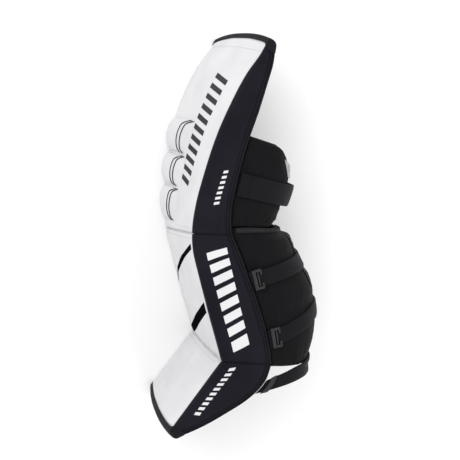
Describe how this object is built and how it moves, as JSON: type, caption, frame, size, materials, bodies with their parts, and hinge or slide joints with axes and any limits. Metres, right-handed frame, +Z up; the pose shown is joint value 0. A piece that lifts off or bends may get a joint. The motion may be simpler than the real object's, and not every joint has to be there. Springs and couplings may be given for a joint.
{
  "type": "goalie leg pad",
  "caption": "Hinged, padded goalie leg pad for the left leg with a flat face, boot flap, knee rolls on the inner side, calf and knee wings, webbing straps and a heel strap.",
  "frame": {"origin": "middle of the box around the pad, on the surface that it lies on", "axes": "+X from the pad's face to its leg side, +Y from the toe to the thigh end, +Z up, from the inner to the outer side"},
  "size_m": [0.2558, 0.6112, 0.2331],
  "materials": {
    "white": "satin smooth synthetic leather",
    "side": "semi-matt fine-grained synthetic leather",
    "binding": "matt woven binding tape",
    "liner": "matt padded nylon cloth",
    "fleece": "soft brushed lining",
    "webbing": "matt ribbed nylon webbing and elastic",
    "plastic": "moulded buckle plastic"
  },
  "bodies": {
    "root": {"thigh_panel": "white", "thigh_liner": "liner", "outer_thigh_side": "side", "outer_thigh_binding": "binding", "inner_thigh_side": "side", "inner_thigh_binding": "binding", "shin_panel": "white", "shin_liner": "liner", "outer_shin_side": "side", "outer_shin_binding": "binding", "inner_shin_side": "side", "inner_shin_binding": "binding", "boot_panel": "white", "boot_liner": "liner", "outer_boot_side": "side", "outer_boot_binding": "binding", "inner_boot_side": "side", "inner_boot_binding": "binding", "thigh_end_binding": "binding", "toe_end_binding": "binding", "knee_roll_upper": "white", "knee_roll_middle": "white", "knee_roll_lower": "white", "outer_calf_wing": "liner", "inner_calf_wing": "liner", "calf_wing_hem": "webbing", "outer_knee_wing": "liner", "inner_knee_wing": "liner", "inner_knee_lining": "fleece", "knee_strap": "webbing", "calf_back_band": "webbing", "upper_calf_tab": "side", "lower_calf_tab": "side", "upper_calf_strap": "webbing", "lower_calf_strap": "webbing", "upper_buckle": "plastic", "lower_buckle": "plastic", "heel_strap": "webbing", "heel_strap_keeper": "plastic"}
  },
  "joints": []
}
